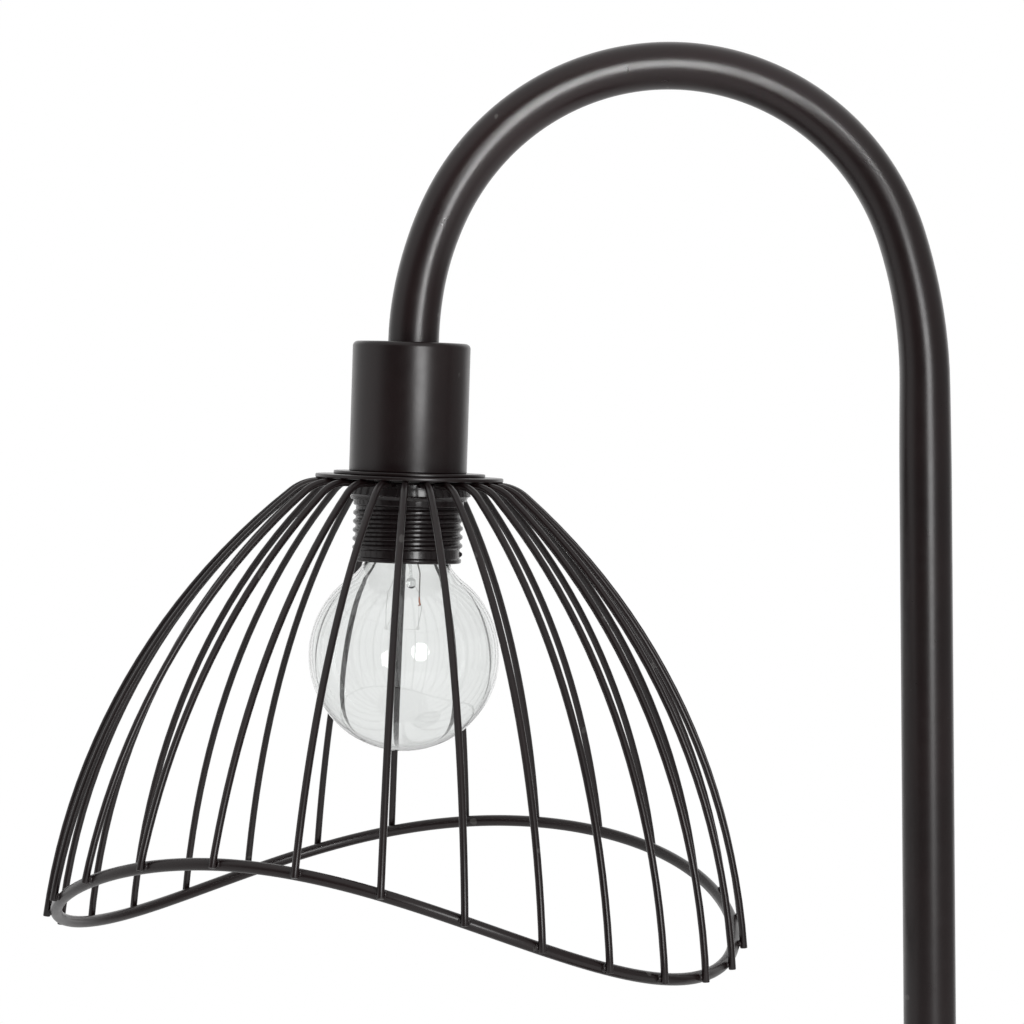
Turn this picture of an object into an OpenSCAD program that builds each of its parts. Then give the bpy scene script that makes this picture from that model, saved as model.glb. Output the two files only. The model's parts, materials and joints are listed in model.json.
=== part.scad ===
// Arched table lamp: a round weighted foot, a tubular stem that bends over in an arch,
// a cylindrical cup with a threaded lampholder, and a wire shade held by a screwed ring.
// Millimetres, +Z up. The origin is the middle of the foot's underside, the stem stands on Z,
// and the arch lies in the XZ plane with the shade on the -X side.

/* [Foot] */
// diameter of the round foot
base_d = 150; // [130:1:190]
// height of the foot from the table to its top face
base_h = 20; // [19.5:0.5:26]
// wall of the spun steel cover
cover_wall = 1.2; // [0.8:0.1:1.6]
// radius of the cover's outer edge
cover_fillet = 3; // [2:0.5:4]
// thickness of the soft pad under the foot
pad_h = 2; // [1:0.5:2.5]
// diameter of the wiring pocket in the weight
pocket_d = 46; // [40:1:50]
// diameter of the collar round the stem
collar_d = 26; // [20:1:40]
// height of that collar
collar_h = 4.5; // [3:0.5:8]

/* [Stem and arch] */
// height of the straight stem, from the table to where the arch begins
stem_h = 400; // [300:1:460]
// outside diameter of the tube
tube_d = 12; // [12:0.1:13]
// wall of the tube
tube_wall = 1.5; // [1:0.1:1.5]
// radius of the slow bend that leads into the arch
entry_r = 114.8; // [80:1:140]
// angle turned in that slow bend
entry_turn = 16.9; // [5:0.1:30]
// radius of the arch itself, to the middle of the tube
arch_r = 58.1; // [50:0.1:80]
// radius of the slow bend that leads out of the arch
exit_r = 76.2; // [62:0.1:100]
// angle turned in that slow bend
exit_turn = 23.6; // [5:0.1:40]
// angle turned from the stem to the cup, all bends together
bend_turn = 177.6; // [170:0.1:180]
// straight tube seen between the arch and the cup
leg_h = 0.5; // [0.5:0.1:12]
// straight tube inside the cup
leg_in = 6; // [5:0.5:7]

/* [Cup] */
// outside diameter of the cup
cup_d = 27.8; // [27.8:0.1:34]
// height of the cup
cup_h = 30.6; // [30:0.1:40]
// wall of the cup
cup_wall = 0.8; // [0.6:0.1:0.8]
// how far the cup sits off the tube's axis, away from the stem
cup_shift = 0.4; // [0:0.1:0.4]
// diameter of the thin flange welded to the cup's lower edge
flange_d = 35.8; // [32:0.1:42]
// thickness of that flange
flange_t = 0.8; // [0.6:0.1:1.0]

/* [Lampholder] */
// outside diameter of the holder's thread
thread_d = 26; // [26:0.1:27]
// pitch of that thread
thread_pitch = 2.05; // [1.8:0.01:2.2]
// depth of the thread
thread_depth = 0.6; // [0.3:0.05:0.8]
// distance from the cup's lower edge down to the holder's mouth
mouth_drop = 21.2; // [20.8:0.1:24]
// inside radius of the holder's mouth
mouth_r = 11.2; // [11.1:0.1:11.3]
// diameter of the shade ring's flange
ring_d = 28.8; // [28.6:0.1:34]
// height of the shade ring
ring_h = 4.2; // [3:0.1:5]

/* [Wire shade] */
// diameter of the shade's top plate
plate_d = 44.4; // [43:0.1:46]
// thickness of the top plate
plate_t = 1.0; // [0.8:0.1:1.2]
// number of ribs
rib_count = 28; // [16:1:32]
// diameter of the rib wire
rib_d = 1.7; // [1.2:0.1:2]
// diameter of the rim wire
rim_d = 2.8; // [1.8:0.1:3]
// radius where a rib's inner end starts under the plate
rib_start_r = 16.5; // [15.5:0.1:18]
// radius where a rib begins to bend down
rib_run_r = 21; // [19:0.1:22]
// radius of that bend
shoulder_r = 10.4; // [8:0.1:14]
// angle of that bend
shoulder_turn = 40; // [30:1:50]
// radius of the long curve of a rib
dome_r = 156; // [130:1:190]
// mean depth of the rim below the cup's lower edge
rim_drop = 99.0; // [85:0.1:110]
// height of the rim's wave above and below its mean
wave_h = 12.4; // [0:0.1:15]
// direction of the wave's high side, in degrees from +X
wave_dir = 75; // [0:1:180]
// how much lower the rim hangs on its low side, beside the wave
rim_tilt = 1.0; // [0:0.1:3]
// direction of that low side, in degrees from +X
tilt_dir = 115; // [-180:1:180]
// height of three smaller waves in the rim
rim_warp = 0.8; // [0:0.1:1.5]
// direction of the high side of one of them, in degrees from +X
warp_dir = 13; // [-180:1:180]
// height of four smaller waves in the rim
rim_ripple = 0.6; // [0:0.1:1.5]
// direction of the high side of one of them, in degrees from +X
ripple_dir = 24; // [-180:1:180]
// direction of the middle of the first rib gap, in degrees from +X
rib_dir = 203.4; // [0:0.1:360]
// how far the ribs drift from an even spacing once round the shade, in degrees
rib_drift = 4.8; // [0:0.1:6]
// where that drift starts, in degrees from the first gap
drift_dir = -3; // [-180:1:180]
// how far they drift twice round the shade, in degrees
rib_sway = 2.6; // [0:0.1:3]
// where that drift starts, in degrees from the first gap
sway_dir = 48; // [-180:1:180]
// how far they drift three times round the shade, in degrees
rib_jog = 0.8; // [0:0.1:1.5]
// where that drift starts, in degrees from the first gap
jog_dir = 21; // [-180:1:180]

/* [Bulb] */
// diameter of the globe
globe_d = 45; // [40:0.5:46]
// distance from the cup's lower edge down to the globe's middle
globe_drop = 43.4; // [42:0.1:46]
// radius of the neck where it enters the cap
neck_r = 8; // [7.8:0.1:8]
// radius of the hollow curve between globe and neck
neck_curve_r = 14; // [12:0.5:18]
// wall of the glass
glass_t = 0.7; // [0.5:0.1:1]

/* [Wiring] */
// diameter of one insulated lead
lead_d = 2.2; // [1.8:0.1:2.4]
// distance between the two leads
lead_pitch = 3.8; // [3.6:0.1:3.8]

/* [Hidden] */
$fn = 96;

base_r = base_d / 2;
tube_r = tube_d / 2;
bore_r = tube_r - tube_wall;
weight_top = base_h - cover_wall;
weight_r = base_r - cover_fillet - 0.2;
pocket_top = weight_top - 5;
gland_z = 7.2;
nipple_r = 4.95;
nipple_bore = 3.6;
thread_r = 5;
nipple_low = 9.4;
nipple_up = 12;
nut_h = 3;

// middles of the three arcs of the arch, in the XZ plane
arc1 = [-entry_r, stem_h];
arc2 = arc1 + (entry_r - arch_r) * [cos(entry_turn), sin(entry_turn)];
exit_from = bend_turn - exit_turn;
arc3 = arc2 + (arch_r - exit_r) * [cos(exit_from), sin(exit_from)];
arc_end = arc3 + exit_r * [cos(bend_turn), sin(bend_turn)];
down = [-sin(bend_turn), cos(bend_turn)];
head = arc_end + (leg_h + cup_h) * down;
lean = 180 - bend_turn;

// stations along the head's axis, measured up from the cup's lower edge
cup_r = cup_d / 2;
ceiling = cup_h - cup_wall;
skirt_r = thread_d / 2;
hole_r = skirt_r + 0.25;
plate_top = -flange_t;
plate_low = plate_top - plate_t;
washer_t = 0.6;
ring_top = plate_low - washer_t;
ring_low = ring_top - ring_h;
joint_z = 9;
inner_r = 12.5;
insert_r = 11.1;
insert_low = -8;
insert_top = 15.6;
socket_r = 7.5;
tip_z = 12.1;
nipple_start = 20.2;

// rib profile: a straight run, a tight shoulder and a long dome curve
rib_r = rib_d / 2;
rim_r = rim_d / 2;
rib_z = plate_low - rib_r;
shoulder_c = [rib_run_r, rib_z - shoulder_r];
dome_c = shoulder_c + (shoulder_r - dome_r) * [sin(shoulder_turn), cos(shoulder_turn)];
// angle along the dome curve, from straight up, at a height in the head's frame
function dome_a(z) = acos((z - dome_c[1]) / dome_r);
function dome_p(a) = dome_c + dome_r * [sin(a), cos(a)];
function rim_z(t) = -rim_drop + wave_h * cos(2 * (t - wave_dir))
    - rim_tilt * cos(t - tilt_dir) + rim_warp * cos(3 * (t - warp_dir))
    + rim_ripple * cos(4 * (t - ripple_dir));
function rib_dir_of(i) = let (k = 360 * (i + 0.5) / rib_count)
    rib_dir + k + rib_drift * sin(k - drift_dir) + rib_sway * sin(2 * (k - sway_dir))
    + rib_jog * sin(3 * (k - jog_dir));

// a point of the rim wire: it lies against the inner side of the ribs
rim_in = rib_r + rim_r;
function rim_p(t) = let (a = dome_a(rim_z(t)), p = dome_p(a) - rim_in * [sin(a), cos(a)])
    [p[0] * cos(t), p[0] * sin(t), p[1]];
function unit(v) = v / norm(v);

globe_r = globe_d / 2;
globe_z = -globe_drop;
neck_x = neck_r + neck_curve_r;
neck_z = sqrt(pow(globe_r + neck_curve_r, 2) - pow(neck_x, 2));
neck_top = neck_z + 1.9;
lead_r = lead_d / 2;
lead_y = lead_pitch / 2;

module at_head() translate([head[0], 0, head[1]]) rotate([0, lean, 0]) children();

// bent and straight lengths of one bar meet with this hairline, so each stays a true round solid
slit = 0.01;

// a bar or tube bent to an arc in the XZ plane, angles counted from +X to +Z
module arc(mid, r, from, to, bar_r, hole = 0)
    translate([mid[0], 0, mid[1]]) rotate([90, 0, 0]) rotate([0, 0, from])
        rotate_extrude(angle = to - from - 180 * slit / (PI * r)) translate([r, 0]) difference() {
            circle(bar_r);
            if (hole > 0) circle(hole);
        }

// the three bends of the arch in a bar or tube of one radius
module arch_bends(bar_r, hole = 0) {
    arc(arc1, entry_r, 0, entry_turn, bar_r, hole);
    arc(arc2, arch_r, entry_turn, exit_from, bar_r, hole);
    arc(arc3, exit_r, exit_from, bend_turn, bar_r, hole);
}

// a straight round bar between two points
module rod(p, q, r) {
    d = q - p;
    translate(p) rotate([0, acos(d[2] / norm(d)), atan2(d[1], d[0])]) cylinder(r = r, h = norm(d));
}

module ring(r_out, r_in, h) difference() {
    cylinder(r = r_out, h = h);
    translate([0, 0, -1]) cylinder(r = r_in, h = h + 2);
}

module nut(flats, r_in, h) difference() {
    cylinder(r = flats / 2 / cos(30), h = h, $fn = 6);
    translate([0, 0, -1]) cylinder(r = r_in, h = h + 2);
}

// half section of a disc with a rounded upper edge
module disc_section(r, low, high, fillet) {
    translate([0, low]) square([r - fillet, high - low]);
    translate([0, low]) square([r, high - low - fillet]);
    translate([r - fillet, high - fillet]) circle(fillet);
}

module base_cover() color([0.03, 0.03, 0.03]) difference() {
    rotate_extrude() difference() {
        disc_section(base_r, 1, base_h, cover_fillet);
        translate([-1, 0]) disc_section(base_r - cover_wall + 1, 0, weight_top,
            cover_fillet - cover_wall);
        translate([-1, 0]) square([thread_r + 1.1, base_h + 1]);
    }
    translate([base_r - 12, 0, gland_z]) rotate([0, 90, 0]) cylinder(r = 3.6, h = 20);
}

module base_weight() color([0.25, 0.25, 0.26]) difference() {
    translate([0, 0, pad_h]) cylinder(r = weight_r, h = weight_top - pad_h);
    cylinder(r = thread_r + 0.1, h = base_h);
    translate([0, 0, -1]) cylinder(d = pocket_d, h = pocket_top + 1);
    translate([0, -7, -1]) cube([base_r, 14, pocket_top + 1]);
    translate([49.5, -11.5, -1]) cube([7, 23, 7.4]);
    for (s = [-1, 1]) translate([53, s * 9.2, 0]) cylinder(r = 1.25, h = 10.5);
}

module base_pad() color([0.08, 0.08, 0.08]) cylinder(r = weight_r - 1, h = pad_h);

module cord_gland() color([0.06, 0.06, 0.06])
    translate([0, 0, gland_z]) rotate([0, 90, 0]) difference() {
        union() {
            translate([0, 0, base_r - 6]) cylinder(r = 3.55, h = 6.2);
            translate([0, 0, base_r]) cylinder(r = 4.8, h = 2.2);
        }
        translate([0, 0, base_r - 10]) cylinder(r = 2.7, h = 20);
    }

module gland_nut() color([0.06, 0.06, 0.06])
    translate([base_r - 5.4, 0, gland_z]) rotate([0, 90, 0]) ring(4.5, 3.57, 3);

module cord_clamp() color([0.1, 0.1, 0.1]) difference() {
    translate([50, -11, 3.4]) cube([6, 22, 3]);
    translate([49, 0, gland_z]) rotate([0, 90, 0]) cylinder(r = 2.7, h = 8);
    for (s = [-1, 1]) translate([53, s * 9.2, 0]) cylinder(r = 1.3, h = 10);
}

module clamp_screws() color([0.6, 0.6, 0.6])
    for (s = [-1, 1]) translate([53, s * 9.2, 2.2]) {
        cylinder(r = 1.9, h = 1.2);
        translate([0, 0, 1]) cylinder(r = 1.2, h = 7);
    }

module connector_block() color([0.9, 0.9, 0.88]) difference() {
    translate([28, -5, 2.9]) cube([13, 10, 8.6]);
    for (s = [-1, 1]) translate([27, s * lead_y, gland_z]) rotate([0, 90, 0])
        cylinder(r = lead_r + 0.15, h = 15);
    for (s = [-1, 1], x = [33, 38]) translate([x, s * lead_y, 2]) cylinder(r = 1.3, h = 4);
}

module connector_screws() color([0.6, 0.6, 0.6])
    for (s = [-1, 1], x = [33, 38]) translate([x, s * lead_y, 3.2]) cylinder(r = 1.25, h = 2.7);

module stem_collar() color([0.03, 0.03, 0.03]) rotate_extrude() difference() {
    translate([0, base_h]) disc_section(collar_d / 2, 0, collar_h, 1.5);
    translate([-1, base_h - 1]) square([tube_r + 1.05, collar_h + 2]);
}

module stem_nipple() color([0.7, 0.65, 0.4]) translate([0, 0, nipple_low])
    ring(nipple_r, nipple_bore, base_h + nipple_up - nipple_low);

module stem_washer() color([0.6, 0.6, 0.6]) translate([0, 0, pocket_top - 1])
    ring(10, thread_r + 0.1, 1);

module stem_nut() color([0.6, 0.6, 0.6]) translate([0, 0, pocket_top - 1 - nut_h])
    nut(14, thread_r, nut_h);

module arch_tube() color([0.03, 0.03, 0.03]) {
    translate([0, 0, base_h]) difference() {
        cylinder(r = tube_r, h = stem_h - base_h - slit);
        translate([0, 0, -1]) cylinder(r = bore_r, h = stem_h);
        translate([0, 0, -1]) cylinder(r = thread_r, h = nipple_up + 2);
    }
    arch_bends(tube_r, bore_r);
    at_head() translate([0, 0, cup_h - leg_in]) difference() {
        cylinder(r = tube_r, h = leg_in + leg_h);
        translate([0, 0, -1]) cylinder(r = bore_r, h = leg_in + leg_h + 2);
        translate([0, 0, -1]) cylinder(r = thread_r, h = leg_in + 1);
    }
}

module socket_cup() color([0.03, 0.03, 0.03]) at_head() difference() {
    translate([-cup_shift, 0, 0]) rotate_extrude() difference() {
        disc_section(cup_r, 0, cup_h, 1);
        translate([-1, -1]) square([cup_r - cup_wall + 1, ceiling + 1]);
    }
    translate([0, 0, ceiling - 1]) cylinder(r = tube_r + 0.05, h = cup_wall + 2);
}

module cup_flange() color([0.03, 0.03, 0.03]) at_head() translate([0, 0, -flange_t])
    ring(flange_d / 2, hole_r, flange_t);

module cup_nut() color([0.6, 0.6, 0.6]) at_head() translate([0, 0, ceiling - 3.4])
    ring(10, tube_r + 0.05, 3.4);

module head_nipple() color([0.7, 0.65, 0.4]) at_head() translate([0, 0, nipple_start])
    ring(nipple_r, nipple_bore, cup_h - nipple_start);

module holder_cap() color([0.05, 0.05, 0.05]) at_head() rotate_extrude() difference() {
    polygon([[0, joint_z], [inner_r, joint_z], [inner_r, 15], [8, 19.4], [7.6, 19.8], [7.6, 23.6],
        [0, 23.6]]);
    polygon([[-1, joint_z - 1], [11.2, joint_z - 1], [11.2, 15.6], [6.5, 18.4], [thread_r, 18.4],
        [thread_r, 25], [-1, 25]]);
}

module holder_insert() color([0.85, 0.84, 0.8]) at_head() difference() {
    translate([0, 0, insert_low]) cylinder(r = insert_r, h = insert_top - insert_low);
    translate([0, 0, insert_low - 1]) cylinder(r = socket_r, h = tip_z + 1.45 - insert_low);
    for (s = [-1, 1]) translate([0, s * 3.6, 13.2]) cylinder(r = 1.3, h = 4);
}

module holder_skirt() color([0.03, 0.03, 0.03]) at_head() rotate_extrude() difference() {
    union() {
        translate([0, -mouth_drop + 1]) square([skirt_r - thread_depth, mouth_drop]);
        translate([0, ring_low - 1.3]) square([skirt_r, 0.8 - ring_low]);
        square([inner_r, joint_z]);
        polygon([[0, -mouth_drop], [skirt_r - 0.8, -mouth_drop], [skirt_r - 0.2, -mouth_drop + 0.6],
            [skirt_r - 0.2, -mouth_drop + 1], [0, -mouth_drop + 1]]);
        for (k = [0 : 5]) translate([skirt_r - thread_depth, -8.8 - thread_pitch * k])
            polygon([[-1, -0.75], [0, -0.75], [thread_depth, -0.3], [thread_depth, 0.3],
                [0, 0.75], [-1, 0.75]]);
    }
    translate([-1, -mouth_drop - 1]) square([mouth_r + 1, mouth_drop + joint_z + 2]);
}

module screw_shell() color([0.8, 0.65, 0.3]) at_head() translate([0, 0, insert_low + 0.4])
    ring(socket_r - 0.02, 7, 17);

module centre_contact() color([0.8, 0.65, 0.3]) at_head() translate([-5, -1.5, tip_z + 0.1])
    cube([10, 3, 0.35]);

module terminal_screws() color([0.7, 0.65, 0.4]) at_head()
    for (s = [-1, 1]) translate([0, s * 3.6, insert_top]) {
        translate([0, 0, -2.2]) cylinder(r = 1.25, h = 2.4);
        cylinder(r = 1.6, h = 1.6);
    }

// an insulated lead: block in the foot, stem, arch and terminal of the holder
sway_r = 3;
sway = acos(1 - (3.6 - lead_y) / (2 * sway_r));
sway_top = insert_top + 1.6 + 2 * sway_r * sin(sway);
module lead(s) {
    turn_r = 3.5;
    translate([0, s * lead_y, 0]) {
        translate([turn_r, 0, gland_z]) rotate([0, 90, 0]) cylinder(r = lead_r, h = 30 - turn_r);
        arc([turn_r, gland_z + turn_r], turn_r, 180, 270, lead_r);
        translate([0, 0, gland_z + turn_r + slit])
            cylinder(r = lead_r, h = stem_h - gland_z - turn_r - 2 * slit);
        arch_bends(lead_r);
    }
    at_head() rotate([0, 0, s * 90]) {
        translate([lead_y, 0, sway_top + slit])
            cylinder(r = lead_r, h = leg_h + cup_h - sway_top - slit);
        arc([lead_y + sway_r, sway_top], sway_r, 180, 180 + sway, lead_r);
        arc([3.6 - sway_r, insert_top + 1.6], sway_r, 0, sway, lead_r);
    }
}
module lead_live() color([0.35, 0.2, 0.1]) lead(1);
module lead_neutral() color([0.1, 0.2, 0.6]) lead(-1);

module ring_washer() color([0.5, 0.5, 0.5]) at_head() translate([0, 0, ring_top])
    ring(ring_d / 2 - 0.4, hole_r, washer_t);

module shade_ring() color([0.03, 0.03, 0.03]) at_head() rotate_extrude() difference() {
    translate([0, ring_low]) square([ring_d / 2, ring_h]);
    translate([-1, ring_low - 1]) square([skirt_r + 1.05, ring_h + 2]);
    translate([ring_d / 2 + 1, ring_low]) circle(1.9);
}

module shade_plate() color([0.03, 0.03, 0.03]) at_head() translate([0, 0, plate_low])
    ring(plate_d / 2, hole_r, plate_t);

module shade_ribs() color([0.03, 0.03, 0.03]) at_head()
    for (i = [0 : rib_count - 1]) {
        t = rib_dir_of(i);
        last = dome_a(rim_z(t) - rim_r * 0.8);
        half = (last + shoulder_turn) / 2;
        rotate([0, 0, t]) {
            translate([rib_start_r, 0, rib_z]) rotate([0, 90, 0])
                cylinder(r = rib_r, h = rib_run_r - rib_start_r - slit);
            arc(shoulder_c, shoulder_r, 90 - shoulder_turn, 90, rib_r);
            arc(dome_c, dome_r, 90 - half, 90 - shoulder_turn, rib_r);
            arc(dome_c, dome_r, 90 - last, 90 - half, rib_r);
        }
    }

// the rim: a round wire swept along its wave
rim_steps = 168;
rim_sides = 16;
rim_points = [for (j = [0 : rim_steps - 1]) let (t = 360 * j / rim_steps, p = rim_p(t),
    d = unit(rim_p(t + 0.5) - rim_p(t - 0.5)), o = unit(cross(d, [0, 0, 1])), u = cross(o, d))
    for (k = [0 : rim_sides - 1]) let (a = 360 * k / rim_sides)
        p + rim_r * (cos(a) * o + sin(a) * u)];
rim_faces = [for (j = [0 : rim_steps - 1], k = [0 : rim_sides - 1])
    let (j2 = (j + 1) % rim_steps, k2 = (k + 1) % rim_sides, a = j * rim_sides + k,
        b = j * rim_sides + k2, c = j2 * rim_sides + k2, d = j2 * rim_sides + k)
        each [[a, b, c], [a, c, d]]];
module shade_rim() color([0.03, 0.03, 0.03]) at_head()
    polyhedron(points = rim_points, faces = rim_faces, convexity = 6);

module bulb_tip() color([0.7, 0.7, 0.7]) at_head() translate([0, 0, 10.9])
    cylinder(r = 2.4, h = tip_z - 10.9);

module bulb_insulator() color([0.02, 0.02, 0.02]) at_head() translate([0, 0, 8.4])
    cylinder(r1 = 5.6, r2 = 2.7, h = 2.5);

module bulb_cap() color([0.8, 0.75, 0.6]) at_head() rotate_extrude() difference() {
    union() {
        translate([0, -9]) square([6.45, 17.4]);
        polygon([[0, -13.6], [8.5, -13.6], [8.5, -10], [6.45, -8.2], [0, -8.2]]);
        for (k = [0 : 4]) translate([6.4, -6.4 + 2.82 * k])
            polygon([[-1, -1.2], [0, -1.2], [0.5, -0.3], [0.5, 0.3], [0, 1.2], [-1, 1.2]]);
    }
    translate([-1, -14]) square([7, 22]);
    translate([-1, -14]) square([9.1, 4]);
}

// half section of the blown glass, a wall's thickness inside its skin
module glass_section(t) {
    r = globe_r - t;
    f = neck_curve_r + t;
    k = r / (globe_r + neck_curve_r);
    intersection() {
        circle(r);
        translate([0, -globe_r]) square([globe_r, globe_d]);
    }
    difference() {
        square([neck_x * k, neck_z]);
        translate([neck_x, neck_z]) circle(f);
    }
    translate([0, neck_z]) square([neck_r - t, neck_top - neck_z]);
}

module bulb_glass() color([0.85, 0.9, 0.9, 0.3]) at_head() translate([0, 0, globe_z])
    rotate_extrude() difference() {
        glass_section(0);
        glass_section(glass_t);
        translate([0, neck_top - 0.5]) square([neck_r - glass_t, 1]);
    }

stem_top = globe_z + neck_top;
bead_z = -26.4;
module bulb_mount() color([0.85, 0.9, 0.9, 0.3]) at_head() {
    translate([0, 0, stem_top - 4]) cylinder(r1 = 1.9, r2 = neck_r - glass_t - 0.05, h = 4);
    translate([0, 0, stem_top - 8]) cylinder(r = 1.9, h = 4);
    translate([0, 0, bead_z]) cylinder(r = 0.5, h = stem_top - 8 - bead_z);
    translate([0, 0, bead_z]) sphere(1.1);
}

lead_top = stem_top - 4 + 4 * 0.45 / (neck_r - glass_t - 1.95);
module bulb_leads() color([0.6, 0.5, 0.45]) at_head()
    for (s = [-1, 1]) translate([s * 2.6, 0, -31.2]) cylinder(r = 0.25, h = lead_top + 31.2);

hook1 = [-4.2, -2, -37];
hook2 = [2.2, 3, -37];
module bulb_supports() color([0.5, 0.5, 0.5]) at_head() {
    rod([-0.9, -0.5, bead_z - 0.6], hook1, 0.15);
    rod([0.7, 0.8, bead_z - 0.6], hook2, 0.15);
}

// the filament's three spans, each a little short of the hooks it hangs from
filament_ends = [[-2.6, 0, -31.4], hook1 - [0, 0, 0.5], hook2 - [0, 0, 0.5], [2.6, 0, -31.4]];
module bulb_filament() color([0.3, 0.3, 0.3]) at_head()
    for (i = [0 : 2]) {
        p = filament_ends[i];
        q = filament_ends[i + 1];
        rod(p + 0.04 * (q - p), q - 0.04 * (q - p), 0.12);
    }

base_cover();
base_weight();
base_pad();
cord_gland();
gland_nut();
cord_clamp();
clamp_screws();
connector_block();
connector_screws();
stem_collar();
stem_nipple();
stem_washer();
stem_nut();
arch_tube();
socket_cup();
cup_flange();
cup_nut();
head_nipple();
holder_cap();
holder_insert();
holder_skirt();
screw_shell();
centre_contact();
terminal_screws();
lead_live();
lead_neutral();
ring_washer();
shade_ring();
shade_plate();
shade_ribs();
shade_rim();
bulb_tip();
bulb_insulator();
bulb_cap();
bulb_glass();
bulb_mount();
bulb_leads();
bulb_supports();
bulb_filament();
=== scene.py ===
import json
from math import acos, asin, atan, ceil, cos, pi, radians, sin, sqrt, tan

import bmesh
import bpy
from mathutils import Matrix, Vector


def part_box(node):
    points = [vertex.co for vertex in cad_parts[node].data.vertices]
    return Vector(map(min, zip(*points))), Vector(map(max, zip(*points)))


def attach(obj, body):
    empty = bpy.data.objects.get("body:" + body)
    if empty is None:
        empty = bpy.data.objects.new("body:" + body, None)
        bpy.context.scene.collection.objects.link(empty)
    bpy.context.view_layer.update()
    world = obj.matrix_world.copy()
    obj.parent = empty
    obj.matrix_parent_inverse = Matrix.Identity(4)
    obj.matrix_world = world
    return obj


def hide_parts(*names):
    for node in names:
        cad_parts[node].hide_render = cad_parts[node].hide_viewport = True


bl_info = {
    "name": "Arched wire lamp",
    "version": (1, 0, 0),
    "blender": (4, 5, 0),
    "location": "View3D > Sidebar > Lamp",
    "description": "Finishes an arched table lamp with a wire shade and sets it in a white studio",
    "category": "Object",
}

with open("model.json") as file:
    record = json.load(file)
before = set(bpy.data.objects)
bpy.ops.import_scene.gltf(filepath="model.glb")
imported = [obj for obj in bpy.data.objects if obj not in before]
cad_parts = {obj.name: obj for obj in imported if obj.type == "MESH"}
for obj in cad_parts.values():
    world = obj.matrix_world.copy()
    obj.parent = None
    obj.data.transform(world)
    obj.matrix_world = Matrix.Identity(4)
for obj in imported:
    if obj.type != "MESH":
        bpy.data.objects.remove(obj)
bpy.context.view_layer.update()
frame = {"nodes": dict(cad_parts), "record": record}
FIT = 0.00005  # gap in metres round a piece that fits into another


# Properties

def prop_kind(make, **more):
    """A maker of one kind of property, from a name, a default and a text."""

    def prop(name, default, text):
        return make(name=name, description=text, default=default, **more)

    return prop


# Lengths and places are in metres. A place can be a direction too. Colours are linear.
length = prop_kind(bpy.props.FloatProperty, precision=5, subtype="DISTANCE", unit="LENGTH")
turn_prop = prop_kind(bpy.props.FloatProperty, subtype="ANGLE")
factor = prop_kind(bpy.props.FloatProperty, min=0, max=1, subtype="FACTOR")
number = prop_kind(bpy.props.FloatProperty)
count = prop_kind(bpy.props.IntProperty, min=3)
colour = prop_kind(bpy.props.FloatVectorProperty, size=3, min=0, max=1, subtype="COLOR")
place = prop_kind(bpy.props.FloatVectorProperty, size=3, subtype="TRANSLATION", unit="LENGTH")


def angle(name, default, text):
    """An angle, given in degrees and kept in radians."""
    return turn_prop(name, radians(default), text)


class LampStand(bpy.types.PropertyGroup):
    """Sizes of the foot, the bent tube and the cup"""

    foot_d: length("Foot diameter", 0.150, "Diameter of the round foot")
    foot_h: length("Foot height", 0.020, "Height of the foot's top face above the table")
    foot_fillet: length("Foot edge", 0.003, "Radius of the foot's upper edge")
    collar_d: length("Collar diameter", 0.026, "Diameter of the collar round the stem")
    collar_h: length("Collar height", 0.0045, "Height of the collar round the stem")
    tube_d: length("Tube diameter", 0.012, "Outside diameter of the tube")
    tube_wall: length("Tube wall", 0.0015, "Wall of the tube")
    stem_h: length("Stem height", 0.400, "Height where the straight stem ends")
    entry_r: length("Entry radius", 0.1148, "Radius of the slow bend into the arch")
    entry_turn: angle("Entry turn", 16.9, "Angle of the slow bend into the arch")
    arch_r: length("Arch radius", 0.0581, "Radius of the arch")
    exit_r: length("Exit radius", 0.0762, "Radius of the slow bend out of the arch")
    exit_turn: angle("Exit turn", 23.6, "Angle of the slow bend out of the arch")
    bend_turn: angle("Whole turn", 177.6, "Angle from the stem to the cup's axis")
    leg_h: length("Leg", 0.0005, "Straight tube between arch and cup")
    leg_in: length("Leg in cup", 0.006, "Straight tube inside the cup")
    cup_d: length("Cup diameter", 0.0278, "Outside diameter of the cup")
    cup_h: length("Cup height", 0.0306, "Height of the cup")
    cup_wall: length("Cup wall", 0.0008, "Wall of the cup")
    cup_shift: length("Cup shift", 0.0004, "How far the cup sits off the tube's axis")
    squeeze: factor("Squeeze", 0.08, "How much thinner the tube is in its bends")
    ease_in: length("Ease in", 0.024, "Length over which it becomes thinner")
    flange_d: length("Flange diameter", 0.0358, "Diameter of the flange under the cup")
    flange_t: length("Flange thickness", 0.0008, "Thickness of the flange under the cup")


class LampHolder(bpy.types.PropertyGroup):
    """Sizes of the lampholder's outside and its shade ring"""

    thread_d: length("Thread diameter", 0.026, "Outside diameter of the thread")
    thread_pitch: length("Pitch", 0.00205, "Pitch of the thread")
    thread_depth: length("Thread depth", 0.0006, "Depth of the thread")
    band_low: length("Band", 0.0079, "How far the plain band reaches below the cup")
    mouth_drop: length("Mouth", 0.0212, "How far the mouth lies below the cup")
    mouth_r: length("Mouth radius", 0.0112, "Inside radius of the mouth")
    inner_r: length("Inner radius", 0.0125, "Radius of the holder inside the cup")
    joint_z: length("Joint", 0.009, "Height of the joint between skirt and cap")
    ring_d: length("Ring diameter", 0.0288, "Diameter of the shade ring's flange")
    ring_h: length("Ring height", 0.0042, "Height of the shade ring")


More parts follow.
